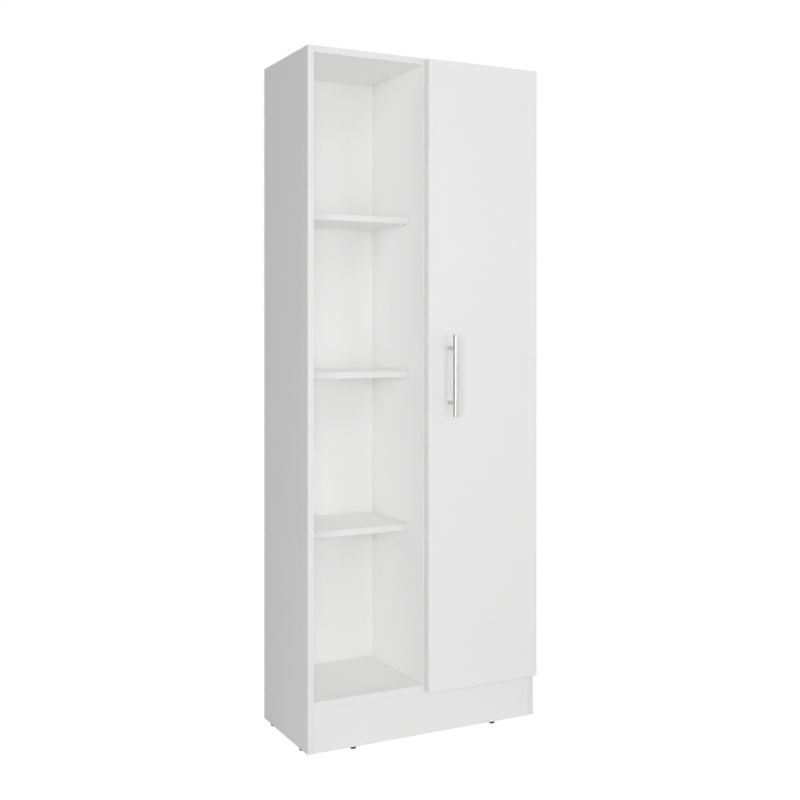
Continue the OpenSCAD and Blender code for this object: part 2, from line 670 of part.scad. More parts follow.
// The bar of the handle, with its ends chamfered and two sockets for the posts
module handle_bar() color(steel) difference() {
    translate([handle_x, handle_y, handle_z - handle_length / 2]) rotate_extrude()
        polygon([[0, 0], [handle_bar_d / 2 - handle_chamfer, 0], [handle_bar_d / 2, handle_chamfer],
                 [handle_bar_d / 2, handle_length - handle_chamfer],
                 [handle_bar_d / 2 - handle_chamfer, handle_length], [0, handle_length]]);
    for (z = handle_zs) translate([handle_x, handle_y - post_spigot_deep, z]) rotate([-90, 0, 0])
        cylinder(d = post_spigot_d + 2 * hole_clearance, h = handle_bar_d);
}

// A post sits in the bar with a spigot and is hollowed to the bar's curve; a screw enters its foot
module handle_posts() color(steel) for (z = handle_zs) difference() {
    translate([handle_x, door_front_y, z]) rotate([90, 0, 0]) union() {
        cylinder(d = handle_post_d, h = handle_projection - handle_bar_d / 4);
        cylinder(d = post_spigot_d, h = handle_projection + post_spigot_deep - end_clearance);
    }
    difference() {
        translate([handle_x, handle_y, z - handle_post_d])
            cylinder(d = handle_bar_d, h = 2 * handle_post_d);
        translate([handle_x, door_front_y, z]) rotate([90, 0, 0])
            cylinder(d = post_spigot_d, h = 2 * handle_projection);
    }
    translate([handle_x, door_front_y + over, z]) rotate([90, 0, 0])
        cylinder(d = handle_screw_d + 2 * hole_clearance,
                 h = handle_screw_in_post + over + end_clearance);
}

module handle_screws() color(zinc) for (z = handle_zs)
    translate([handle_x, door_back_y, z]) rotate([90, 0, 0]) union() {
        cylinder(d = handle_screw_d, h = board_t + handle_screw_in_post);
        translate([0, 0, -handle_screw_head_h]) difference() {
            cylinder(d = handle_screw_head_d, h = handle_screw_head_h);
            cross_cut(handle_screw_head_d, handle_screw_head_h / 2);
        }
    }

// The door is eased all round, on both faces
module door_panel() color(board_white) difference() {
    translate([door_left_x, door_front_y, door_z0]) intersection() {
        upright_form([door_w, board_t, door_z1 - door_z0], [true, true, true, true]);
        lying_form([door_w, board_t, door_z1 - door_z0], [true, true, true, true]);
    }
    for (z = handle_zs) translate([handle_x, door_back_y + over, z]) rotate([90, 0, 0])
        cylinder(d = handle_screw_d + 2 * handle_screw_play, h = board_t + 2 * over);
    for (z = HINGE_ZS) cup_bore(z);
}

// Puts the children at the corner from which each hinge is drawn
module at_hinges() for (z = HINGE_ZS) translate([right_inner_x, front_y, z]) children();

// A cross cut in a screw's head that faces -Z; its reach and width are shares of the head's
module cross_cut(head_d, deep) for (turn = [0, 90]) rotate([0, 0, turn])
    translate([-cross_half * head_d, -cross_w * head_d / 2, -over])
        cube([2 * cross_half * head_d, cross_w * head_d, over + deep]);

// A plate between two heights, from the outline given as children
module slab(from, to) translate([0, 0, from]) linear_extrude(to - from) children();

// The same plate on both sides of a hinge's middle
module slab_pair(from, to) {
    slab(from, to) children();
    slab(-to, -from) children();
}

// A straight strip from one point to another
module strip(p, q, w) translate(p) rotate(atan2(q[1] - p[1], q[0] - p[0]))
    translate([0, -w / 2]) square([norm(q - p), w]);

module disc(p, d) translate(p) circle(d = d);

// Mounting plate: a wing with two round ears that is screwed to the side panel, and the rib that
// carries the arm, longer at its foot
module plate_outline() {
    square([plate_body_w, 2 * plate_body_half], center = true);
    square([plate_neck_w, 2 * plate_screw_z], center = true);
    for (side = [-1, 1]) disc([0, side * plate_screw_z], plate_ear_d);
}

module rib_outline() polygon([[arm_face_x + sheet, rib_y[0]], [0, rib_y[0]],
                              [0, rib_y[1] + rib_foot], [-plate_t, rib_y[1] + rib_foot],
                              [arm_body_x, rib_y[1]], [arm_face_x + sheet, rib_y[1]]]);

module hinge_mounting_plates() color(steel) at_hinges() difference() {
    union() {
        translate([-plate_t, plate_screw_y, 0]) rotate([90, 0, 90])
            linear_extrude(plate_t) plate_outline();
        slab(-rib_half, rib_half) rib_outline();
    }
    for (side = [-1, 1]) translate([0, plate_screw_y, side * plate_screw_z])
        rod_x(plate_screw_d + 2 * hole_clearance, -plate_t - over, over);
    for (y = arm_screw_ys) translate([arm_face_x, y, 0])
        rod_x(arm_screw_d + 2 * hole_clearance, 0, arm_screw_length + end_clearance);
}

module plate_screw_holes(z) for (side = [-1, 1])
    translate([right_inner_x, front_y + plate_screw_y, z + side * plate_screw_z])
        rod_x(plate_screw_d + 2 * hole_clearance, -over, plate_screw_in + end_clearance);

module mounting_plate_screws() color(zinc) at_hinges() for (side = [-1, 1])
    translate([-plate_t, plate_screw_y, side * plate_screw_z]) difference() {
        union() {
            rod_x(plate_screw_d, 0, plate_t + plate_screw_in);
            rod_x(plate_screw_head_d, -plate_screw_head_h, 0);
        }
        translate([-plate_screw_head_h, 0, 0]) rotate([0, 90, 0])
            cross_cut(plate_screw_head_d, plate_screw_head_h / 2);
    }

// Arm: a pressed channel, narrow where it holds the pivots and wide where it sits on the rib; its
// sides slope in at the front and at the rear
module arm_nose_outline() polygon([[arm_face_x, arm_nose_y], [arm_nose_x - arm_nose_bevel, arm_nose_y],
                                   [arm_nose_x, arm_nose_y + arm_nose_bevel],
                                   [arm_nose_x, arm_body_y + sheet],
                                   [arm_face_x, arm_body_y + sheet]]);

module arm_body_outline() polygon([[arm_face_x, arm_body_y], [arm_nose_x, arm_body_y],
                                   [arm_body_x, arm_body_y + arm_front_slope],
                                   [arm_body_x, arm_end_y - arm_rear_slope],
                                   [arm_face_x + arm_rear_lip, arm_end_y], [arm_face_x, arm_end_y]]);

module hinge_arms() color(steel) at_hinges() difference() {
    union() {
        slab_pair(arm_nose_half - sheet, arm_nose_half) arm_nose_outline();
        translate([arm_face_x, arm_nose_y, -arm_nose_half])
            cube([sheet, arm_body_y + sheet - arm_nose_y, 2 * arm_nose_half]);
        difference() {
            slab(-arm_body_half, arm_body_half) arm_body_outline();
            slab(-rib_half, rib_half) translate([arm_face_x + sheet, arm_body_y + sheet])
                square([arm_body_x - arm_face_x, arm_end_y - arm_body_y]);
        }
    }
    for (p = [arm_outer_pivot, arm_inner_pivot]) slab(-arm_body_half, arm_body_half)
        disc(p, pin_d + 2 * hole_clearance);
    for (y = arm_screw_ys) translate([arm_face_x, y, 0])
        rod_x(arm_screw_d + 2 * hole_clearance, -over, sheet + over);
}

module hinge_arm_screws() color(zinc) at_hinges() for (y = arm_screw_ys)
    translate([arm_face_x, y, 0]) difference() {
        union() {
            rod_x(arm_screw_d, 0, arm_screw_length);
            rod_x(arm_screw_head_d, -arm_screw_head_h, 0);
        }
        translate([-arm_screw_head_h, 0, 0]) rotate([0, 90, 0])
            cross_cut(arm_screw_head_d, arm_screw_head_h / 2);
    }

// Pins in the arm: the outer link turns on one, and the inner link's slot slides on the other
module hinge_arm_pins() color(steel) at_hinges() {
    slab(-outer_link_half, outer_link_half) disc(arm_outer_pivot, pin_d);
    slab(-arm_nose_half, arm_nose_half) disc(arm_inner_pivot, pin_d);
}

// Outer links: a pair of cranked plates outside the arm's cheeks
module hinge_outer_links() color(steel) at_hinges()
    slab_pair(outer_link_in, outer_link_half) difference() {
        union() {
            disc(arm_outer_pivot, eye_d);
            strip(arm_outer_pivot, outer_bend, link_w);
            disc(outer_bend, link_w);
            strip(outer_bend, cup_outer_pivot, link_w);
            disc(cup_outer_pivot, eye_d);
        }
        for (p = [arm_outer_pivot, cup_outer_pivot]) disc(p, pin_d + 2 * hole_clearance);
    }

// Inner links: one thick cranked link between the arm's cheeks, slotted where the arm holds it
module hinge_inner_links() color(steel) at_hinges()
    slab(-inner_link_half, inner_link_half) difference() {
        union() {
            for (p = link_slot) disc(p, slot_eye_d);
            strip(link_slot[0], link_slot[1], slot_eye_d - 2 * hole_clearance);
            strip(link_slot[1], inner_bend, link_w);
            disc(inner_bend, link_w);
            strip(inner_bend, cup_inner_pivot, link_w);
            disc(cup_inner_pivot, eye_d);
        }
        for (p = link_slot) disc(p, link_slot_w);
        strip(link_slot[0], link_slot[1], link_slot_w - 2 * hole_clearance);
        disc(cup_inner_pivot, pin_d + 2 * hole_clearance);
    }

// A cylinder that goes into the door from its back face, round a hinge's cup or screw
module into_door(x, z, d, from, deep) translate([x, -door_gap - from, z]) rotate([90, 0, 0])
    cylinder(d = d, h = deep - from);

// Cup: a round pot with a flange, and two cheeks inside that hold the pins
module hinge_cups() color(steel) at_hinges() difference() {
    union() {
        difference() {
            union() {
                into_door(cup_x, 0, cup_d, 0, cup_deep);
                into_door(cup_x, 0, flange_d, -flange_t, 0);
                translate([cup_screw_x - flange_w / 2, -door_gap, -cup_screw_z])
                    cube([flange_w, flange_t, 2 * cup_screw_z]);
                for (side = [-1, 1]) into_door(cup_screw_x, side * cup_screw_z, flange_w, -flange_t, 0);
            }
            into_door(cup_x, 0, cup_d - 2 * cup_wall, -flange_t - over, cup_deep - cup_wall);
            translate([cup_x - flange_d, -door_gap, -outer_link_in])
                cube([rim_notch_x - cup_x + flange_d + over, flange_t + over, 2 * outer_link_in]);
        }
        intersection() {
            into_door(cup_x, 0, cup_d - cup_wall, 0, cup_deep - cup_wall / 2);
            slab_pair(cheek_in, cheek_half)
                translate([cheek_from_x, -door_gap - cup_deep]) square([cup_d / 2, cup_deep]);
        }
    }
    for (p = [cup_outer_pivot, cup_inner_pivot]) slab(-cheek_half, cheek_half)
        disc(p, pin_d + 2 * hole_clearance);
    for (side = [-1, 1]) into_door(cup_screw_x, side * cup_screw_z,
                                   cup_screw_d + 2 * hole_clearance, -flange_t - over, over);
}

module cup_bore(z) translate([right_inner_x, front_y, z]) {
    into_door(cup_x, 0, cup_d + 2 * hole_clearance, -over, cup_deep + hole_clearance);
    for (side = [-1, 1]) into_door(cup_screw_x, side * cup_screw_z,
                                   cup_screw_d + 2 * hole_clearance, -over,
                                   cup_screw_in + end_clearance);
}

module hinge_cup_screws() color(zinc) at_hinges() for (side = [-1, 1])
    translate([cup_screw_x, -door_gap + flange_t, side * cup_screw_z]) rotate([90, 0, 0])
        difference() {
            union() {
                cylinder(d = cup_screw_d, h = flange_t + cup_screw_in);
                translate([0, 0, -cup_screw_head_h]) cylinder(d = cup_screw_head_d, h = cup_screw_head_h);
            }
            translate([0, 0, -cup_screw_head_h]) cross_cut(cup_screw_head_d, cup_screw_head_h / 2);
        }

// Pins in the cup: two short ones for the outer link's plates and one across for the inner link
module hinge_cup_pins() color(steel) at_hinges() {
    slab_pair(outer_link_in, cheek_half - end_clearance) disc(cup_outer_pivot, pin_d);
    slab(-cheek_half + end_clearance, cheek_half - end_clearance) disc(cup_inner_pivot, pin_d);
}

left_side_panel();
right_side_panel();
top_panel();
bottom_panel();
divider_panel();
plinth_board();
back_sheet_left();
back_sheet_right();
open_shelf_lower();
open_shelf_middle();
open_shelf_upper();
inner_shelf_lower();
inner_shelf_middle();
inner_shelf_upper();
shelf_pegs();
cam_locks();
cam_bolts();
double_ended_bolts();
cam_caps();
wooden_dowels();
divider_screws();
back_sheet_nails();
floor_glides();
glide_nails();
door_bumpers();
hinge_mounting_plates();
mounting_plate_screws();
hinge_arms();
hinge_arm_screws();
hinge_arm_pins();
hinge_outer_links();
hinge_inner_links();
door_panel();
hinge_cups();
hinge_cup_screws();
hinge_cup_pins();
handle_bar();
handle_posts();
handle_screws();
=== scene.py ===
"""Looks, light and camera for the pantry cupboard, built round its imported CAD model."""

import math

import bpy
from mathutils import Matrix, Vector


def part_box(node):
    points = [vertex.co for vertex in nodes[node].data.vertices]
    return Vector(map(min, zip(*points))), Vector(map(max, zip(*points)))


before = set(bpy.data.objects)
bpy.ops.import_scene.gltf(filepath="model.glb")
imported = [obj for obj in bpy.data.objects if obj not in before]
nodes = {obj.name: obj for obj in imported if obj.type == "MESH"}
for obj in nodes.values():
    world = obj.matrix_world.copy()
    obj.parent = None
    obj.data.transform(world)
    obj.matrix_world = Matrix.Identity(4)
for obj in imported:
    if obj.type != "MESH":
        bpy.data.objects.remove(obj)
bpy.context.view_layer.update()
scene = bpy.context.scene

MM = 0.001

# Camera, from a fit to the cupboard's corners; it looks along +Y, turned towards +X
IMAGE_PIXELS = 800
SENSOR_WIDTH_MM = 36.0
FOCAL_PIXELS = 1147.6
CAMERA_PLACE = (-1.283, -2.48325, 0.957)
CAMERA_YAW_DEG = 27.12
HORIZON_RISE_PIXELS = 71.3

# Directions; NOWHERE is the direction of no face
X, Y, Z = (1, 0, 0), (0, 1, 0), (0, 0, 1)
DOWN = (0, 0, -1)
NOWHERE = (0, 0, 0)

# Colours, linear
WHITE = (1.0, 1.0, 1.0)
MELAMINE_WHITE = (0.915, 0.915, 0.912)
# Painted shade: the door's white film, painted darker than the same film elsewhere because the
# front lamps fall full on the door
DOOR_FRONT_PAINTED_SHADE = (0.738, 0.738, 0.736)
# Painted shade: the white edge banding, painted darker than the film where the front lamps fall
# on the banded edges
EDGE_BAND_PAINTED_SHADE = (0.706, 0.706, 0.704)
# Painted shade and light: the plinth's white film, painted darker than the film where the front
# lamps fall, and lifted a little against the door's shadow on it
PLINTH_PAINTED_LIGHT_AND_SHADE = (0.72, 0.72, 0.718)
# Painted shade and light: the bottom panel's banding, darker than the film like the other bands,
# and a little lighter than them so that no shade line shows where it meets the plinth
LOWER_BAND_PAINTED_LIGHT_AND_SHADE = (0.725, 0.725, 0.723)
# Painted shade: the right side panel's banding, painted darker than the other bands where the
# lamps make its front edge bright
RIGHT_BAND_PAINTED_SHADE = (0.693, 0.693, 0.691)
# Painted light: the door's banded edges, painted lighter than the other bands to lift the door's
# shaded left edge
DOOR_BAND_PAINTED_LIGHT = (0.87, 0.87, 0.867)
GLUE_LINE = (0.62, 0.61, 0.59)
CHIP_LIGHT = (0.50, 0.37, 0.22)
CHIP_DARK = (0.27, 0.17, 0.09)
HARDBOARD_BROWN = (0.36, 0.22, 0.125)
PLASTIC_WHITE = (0.80, 0.80, 0.78)
BUMPER_MILK = (0.70, 0.70, 0.68)
ZINC_GREY = (0.42, 0.43, 0.45)
PLATE_BRIGHT = (0.62, 0.63, 0.65)
NICKEL = (0.62, 0.61, 0.59)
# Painted shade and light: one satin nickel for the handle, painted darker on the bar to dim its
# highlight and lighter on the posts
BAR_NICKEL_PAINTED_SHADE = (0.48, 0.476, 0.468)
POST_NICKEL_PAINTED_LIGHT = (0.62, 0.615, 0.605)
BEECH_LIGHT = (0.56, 0.38, 0.21)
BEECH_DARK = (0.40, 0.25, 0.12)
GLIDE_GREY = (0.02, 0.021, 0.023)
FLOOR_PALE = (0.90, 0.90, 0.90)
FLOOR_SEEN = (0.10, 0.10, 0.10)

# Surroundings
FLOOR_GLOW = 1.0
FLOOR_HALF = 30.0
WORLD_GLOW = 0.1
VIEW_GAMMA = 1.3

# A face is turned to a direction when the cosine between the two is above this
TURNED = 0.85

# White film on the boards and the back sheets
FILM_SPECULAR = 0.3
FILM_IOR = 1.5
FILM_ROUGHNESS = 0.5
SHEET_ROUGHNESS = 0.55
CLOUD_DEPTH = 0.012
WIPE_DEPTH = 0.08
PEARL_DEPTH = 0.12
SKIN_BUMP = 0.5
SKIN_DEPTH = 0.15 * MM

# Edge banding, its glue line, and how the banding and raw chip change the roughness
BAND_THICK = 0.8 * MM
GLUE_HALF = 0.08 * MM
BAND_ROUGHER = -0.08
CHIP_ROUGHER = 0.4

# Brown faces of the back sheets: those whose cosine with +Y is above BROWN_FROM. Their tone is
# BROWN_LEAST and a share of the fibre and the mottle
BROWN_FROM = -0.5
BROWN_LEAST = 0.45
BROWN_FIBRE = 0.8
BROWN_MOTTLE = 0.35
BROWN_ROUGHER = 0.3

# Brushed metal, moulded skins and beech: shares of their noise, and the depths of their bumps
BRUSH_TONE = 0.5
POLISH_ROUGHER = 0.1
BRUSH_DEPTH = 0.05 * MM
PATCH_ROUGHER = 0.15
MOULD_DEPTH = 0.1 * MM
BEECH_BUMP = 0.3
BEECH_DEPTH = 0.1 * MM

# How a place is stretched before its noise: the small number is along the lines
EVEN = (1.0, 1.0, 1.0)
LINES_ALONG_Z = (1.0, 1.0, 0.02)
LINES_ALONG_Y = (1.0, 0.02, 1.0)
SHORT_LINES_ALONG_Y = (1.0, 0.05, 1.0)
BEECH_ALONG_X = (0.08, 1.0, 1.0)
FIBRE_ALONG_Z = (1.0, 1.0, 0.35)

# Scales of noise and flakes, per metre
PEARL_SCALE = 900.0
CLOUD_SCALE = 5.0
WIPE_SCALE = 14.0
FLAKE_SCALE = 520.0
SPECK_SCALE = 1400.0
BRUSH_SCALE = 2600.0
POLISH_SCALE = 300.0
PATCH_SCALE = 120.0
BEECH_SCALE = 900.0
FLECK_SCALE = 2400.0
FIBRE_SCALE = 420.0
MOTTLE_SCALE = 9.0


def add_node(tree, kind, **values):
    """A node of a kind, with plain settings and default input values."""
    made = tree.nodes.new(kind)
    for name, value in values.items():
        if hasattr(made, name):
            setattr(made, name, value)
        else:
            made.inputs[name.replace("_", " ")].default_value = value
    return made


def link(tree, source, target):
    """Joins an output socket to an input socket."""
    tree.links.new(source, target)


def opaque(colour):
    """A colour with full alpha."""
    return (*colour, 1.0)


def vector_math(tree, operation, first, second=None):
    """A vector operation on two sockets or constant vectors; gives the node."""
    made = tree.nodes.new("ShaderNodeVectorMath")
    made.operation = operation
    for socket, value in zip(made.inputs, (first, second)):
        if isinstance(value, bpy.types.NodeSocket):
            link(tree, value, socket)
        elif value is not None:
            socket.default_value = value
    return made


def math_node(tree, operation, first, second=None, third=None, clamp=False):
    """A number operation on sockets or constants; gives the output socket."""
    made = tree.nodes.new("ShaderNodeMath")
    made.operation = operation
    made.use_clamp = clamp
    for socket, value in zip(made.inputs, (first, second, third)):
        if isinstance(value, bpy.types.NodeSocket):
            link(tree, value, socket)
        elif value is not None:
            socket.default_value = value
    return made.outputs[0]


def mix_colour(tree, share, first, second):
    """Mixes two colours, sockets or constants, by a share; gives the output socket."""
    made = tree.nodes.new("ShaderNodeMix")
    made.data_type = "RGBA"
    factor, low, high = made.inputs[0], made.inputs[6], made.inputs[7]
    for socket, value in ((factor, share), (low, first), (high, second)):
        if isinstance(value, bpy.types.NodeSocket):
            link(tree, value, socket)
        elif socket is factor:
            socket.default_value = value
        else:
            socket.default_value = opaque(value)
    return made.outputs[2]


def new_group(name, inputs, outputs):
    """A shader node group with named sockets; gives the tree and its two end nodes."""
    tree = bpy.data.node_groups.new(name, "ShaderNodeTree")
    for direction, sockets in (("INPUT", inputs), ("OUTPUT", outputs)):
        for socket_name, kind, default in sockets:
            made = tree.interface.new_socket(socket_name, in_out=direction,
                                             socket_type="NodeSocket" + kind)
            if default is not None:
                made.default_value = default
    return tree, tree.nodes.new("NodeGroupInput"), tree.nodes.new("NodeGroupOutput")


def noise(tree, place, scale, detail=2.0, roughness=0.5):
    """The value of a noise of a scale, per metre, at a place socket."""
    made = add_node(tree, "ShaderNodeTexNoise", Scale=scale, Detail=detail, Roughness=roughness)
    link(tree, place, made.inputs["Vector"])
    return made.outputs[0]


def object_place(tree):
    """The shaded point in metres, in its piece's own frame; gives the socket."""
    return tree.nodes.new("ShaderNodeTexCoord").outputs["Object"]


def cosine(tree, facing, direction):
    """The cosine between a face's normal and a direction; gives the socket."""
    return vector_math(tree, "DOT_PRODUCT", facing, direction).outputs["Value"]


def turned_to(tree, value):
    """One where a cosine is near 1, else zero; gives the socket."""
    return math_node(tree, "GREATER_THAN", value, TURNED)


def toned(tree, colour, tone):
    """A colour, socket or constant, times a number socket; gives the socket."""
    made = vector_math(tree, "SCALE", colour)
    link(tree, tone, made.inputs["Scale"])
    return made.outputs[0]


def make_melamine_group():
    """Melamine film: a fine pearl in the height, faint clouds in the colour and the roughness."""
    tree, given, result = new_group(
        "melamine_film",
        [("Base", "Color", opaque(MELAMINE_WHITE)), ("Cloud", "Float", CLOUD_DEPTH),
         ("Roughness", "Float", FILM_ROUGHNESS)],
        [("Color", "Color", None), ("Roughness", "Float", None), ("Height", "Float", None)])
    place = object_place(tree)
    pearl = noise(tree, place, PEARL_SCALE, detail=3.0)
    cloud = noise(tree, place, CLOUD_SCALE, detail=3.0)
    wipe = noise(tree, place, WIPE_SCALE, detail=4.0)
    tone = math_node(tree, "MULTIPLY_ADD", cloud, given.outputs["Cloud"], 1.0)
    tone = math_node(tree, "MULTIPLY_ADD", given.outputs["Cloud"], -0.5, tone)
    link(tree, toned(tree, given.outputs["Base"], tone), result.inputs["Color"])
    rough = math_node(tree, "MULTIPLY_ADD", wipe, WIPE_DEPTH, given.outputs["Roughness"])
    link(tree, math_node(tree, "SUBTRACT", rough, WIPE_DEPTH / 2), result.inputs["Roughness"])
    link(tree, pearl, result.inputs["Height"])
    return tree


def make_board_zone_group():
    """Where a board shows film, banded edge, glue line or raw chipboard, from its own corners.

    Low and High are the board's corners and Across is the direction of its thickness. Raw A and
    Raw B are the directions of the edges left raw. Plain is the direction whose two edges keep
    the film's tone, without the band's painted shade."""
    tree, given, result = new_group(
        "board_zones",
        [("Low", "Vector", None), ("High", "Vector", None), ("Across", "Vector", None),
         ("Raw A", "Vector", None), ("Raw B", "Vector", None), ("Plain", "Vector", None)],
        [("Edge", "Float", None), ("Glue", "Float", None), ("Raw", "Float", None)])
    place = object_place(tree)
    facing = tree.nodes.new("ShaderNodeTexCoord").outputs["Normal"]
    across = cosine(tree, facing, given.outputs["Across"])
    flat = turned_to(tree, math_node(tree, "ABSOLUTE", across))
    edge = math_node(tree, "SUBTRACT", 1.0, flat)
    plain = cosine(tree, facing, given.outputs["Plain"])
    plain = turned_to(tree, math_node(tree, "ABSOLUTE", plain))
    raw_a = cosine(tree, facing, given.outputs["Raw A"])
    raw_b = cosine(tree, facing, given.outputs["Raw B"])
    raw = turned_to(tree, math_node(tree, "MAXIMUM", raw_a, raw_b))
    # Distance to the nearest edge in the plane of the film. The thickness direction gets a metre
    # more, so that it is never the nearest
    from_low = vector_math(tree, "SUBTRACT", place, given.outputs["Low"]).outputs[0]
    from_high = vector_math(tree, "SUBTRACT", given.outputs["High"], place).outputs[0]
    nearest = vector_math(tree, "MINIMUM", from_low, from_high).outputs[0]
    pushed = vector_math(tree, "ADD", nearest, given.outputs["Across"]).outputs[0]
    parts = tree.nodes.new("ShaderNodeSeparateXYZ")
    link(tree, pushed, parts.inputs[0])
    inset = math_node(tree, "MINIMUM", parts.outputs[0], parts.outputs[1])
    inset = math_node(tree, "MINIMUM", inset, parts.outputs[2])
    off_line = math_node(tree, "ABSOLUTE", math_node(tree, "SUBTRACT", inset, BAND_THICK))
    line = math_node(tree, "LESS_THAN", off_line, GLUE_HALF)
    link(tree, math_node(tree, "SUBTRACT", edge, plain, clamp=True), result.inputs["Edge"])
    link(tree, math_node(tree, "MULTIPLY", line, flat), result.inputs["Glue"])
    link(tree, math_node(tree, "MULTIPLY", raw, edge), result.inputs["Raw"])
    return tree


def make_chip_group():
    """Raw chipboard: pressed flakes of two tones with open gaps between them."""
    tree, given, result = new_group(
        "chipboard",
        [("Light", "Color", opaque(CHIP_LIGHT)), ("Dark", "Color", opaque(CHIP_DARK))],
        [("Color", "Color", None), ("Height", "Float", None)])
    place = object_place(tree)
    flakes = add_node(tree, "ShaderNodeTexVoronoi", Scale=FLAKE_SCALE, Randomness=1.0)
    link(tree, place, flakes.inputs["Vector"])
    tint = tree.nodes.new("ShaderNodeSeparateColor")
    link(tree, flakes.outputs["Color"], tint.inputs[0])
    speck = noise(tree, place, SPECK_SCALE, detail=3.0)
    share = math_node(tree, "MULTIPLY", tint.outputs[0], speck)
    link(tree, mix_colour(tree, share, given.outputs["Light"], given.outputs["Dark"]),
         result.inputs["Color"])
    height = math_node(tree, "SUBTRACT", 1.0, flakes.outputs["Distance"])
    link(tree, height, result.inputs["Height"])
    return tree


def make_brushed_group():
    """Brushed metal: fine lines along one direction, set by how the place is stretched."""
    tree, given, result = new_group(
        "brushed_lines",
        [("Stretch", "Vector", LINES_ALONG_Z), ("Base", "Color", opaque(NICKEL)),
         ("Depth", "Float", 0.2), ("Roughness", "Float", 0.3)],
        [("Color", "Color", None), ("Roughness", "Float", None), ("Height", "Float", None)])
    place = object_place(tree)
    drawn = vector_math(tree, "MULTIPLY", place, given.outputs["Stretch"]).outputs[0]
    lines = noise(tree, drawn, BRUSH_SCALE, detail=4.0, roughness=0.6)
    broad = noise(tree, drawn, POLISH_SCALE)
    shift = math_node(tree, "SUBTRACT", lines, 0.5)
    shift = math_node(tree, "MULTIPLY", shift, given.outputs["Depth"])
    tone = math_node(tree, "ADD", 1.0, math_node(tree, "MULTIPLY", shift, BRUSH_TONE))
    link(tree, toned(tree, given.outputs["Base"], tone), result.inputs["Color"])
    rough = math_node(tree, "MULTIPLY_ADD", broad, POLISH_ROUGHER, given.outputs["Roughness"])
    link(tree, math_node(tree, "ADD", rough, shift, clamp=True), result.inputs["Roughness"])
    link(tree, lines, result.inputs["Height"])
    return tree


def make_skin_group():
    """Cast or moulded skin: a fine grain in the height, cloudy patches in tone and roughness."""
    tree, given, result = new_group(
        "moulded_skin",
        [("Base", "Color", opaque(PLASTIC_WHITE)), ("Grain", "Float", 1500.0),
         ("Variation", "Float", 0.05), ("Roughness", "Float", 0.5)],
        [("Color", "Color", None), ("Roughness", "Float", None), ("Height", "Float", None)])
    place = object_place(tree)
    grain_node = add_node(tree, "ShaderNodeTexNoise", Detail=2.0)
    link(tree, place, grain_node.inputs["Vector"])
    link(tree, given.outputs["Grain"], grain_node.inputs["Scale"])
    patches = noise(tree, place, PATCH_SCALE, detail=3.0)
    off = math_node(tree, "SUBTRACT", patches, 0.5)
    tone = math_node(tree, "MULTIPLY_ADD", off, given.outputs["Variation"], 1.0)
    link(tree, toned(tree, given.outputs["Base"], tone), result.inputs["Color"])
    rough = math_node(tree, "MULTIPLY_ADD", off, PATCH_ROUGHER, given.outputs["Roughness"])
    link(tree, rough, result.inputs["Roughness"])
    link(tree, grain_node.outputs[0], result.inputs["Height"])
    return tree


def make_grain_group():
    """Turned beech: long fibres along one direction, with short dark flecks."""
    tree, given, result = new_group(
        "beech_grain",
        [("Light", "Color", opaque(BEECH_LIGHT)), ("Dark", "Color", opaque(BEECH_DARK)),
         ("Stretch", "Vector", BEECH_ALONG_X)],
        [("Color", "Color", None), ("Height", "Float", None)])
    place = object_place(tree)
    drawn = vector_math(tree, "MULTIPLY", place, given.outputs["Stretch"]).outputs[0]
    fibre = noise(tree, drawn, BEECH_SCALE, detail=4.0, roughness=0.6)
    fleck = noise(tree, drawn, FLECK_SCALE, detail=1.0)
    share = math_node(tree, "MULTIPLY", fibre, fleck)
    link(tree, mix_colour(tree, share, given.outputs["Light"], given.outputs["Dark"]),
         result.inputs["Color"])
    link(tree, fibre, result.inputs["Height"])
    return tree


melamine_film = make_melamine_group()
board_zones = make_board_zone_group()
chipboard = make_chip_group()
brushed_lines = make_brushed_group()
moulded_skin = make_skin_group()
beech_grain = make_grain_group()


def start_material(name, **shader_values):
    """A material with a Principled shader whose constant sockets are set here."""
    material = bpy.data.materials.new(name)
    material.use_nodes = True
    tree = material.node_tree
    shader = tree.nodes["Principled BSDF"]
    for socket, value in shader_values.items():
        shader.inputs[socket.replace("_", " ")].default_value = value
    return material, tree, shader


def use_group(tree, group, **values):
    """A group node with its own input values."""
    made = tree.nodes.new("ShaderNodeGroup")
    made.node_tree = group
    for name, value in values.items():
        made.inputs[name.replace("_", " ")].default_value = value
    return made


def join_bump(tree, shader, height, strength, distance):
    """A height becomes the shader's normal."""
    bump = add_node(tree, "ShaderNodeBump", Strength=strength, Distance=distance)
    link(tree, height, bump.inputs["Height"])
    link(tree, bump.outputs[0], shader.inputs["Normal"])


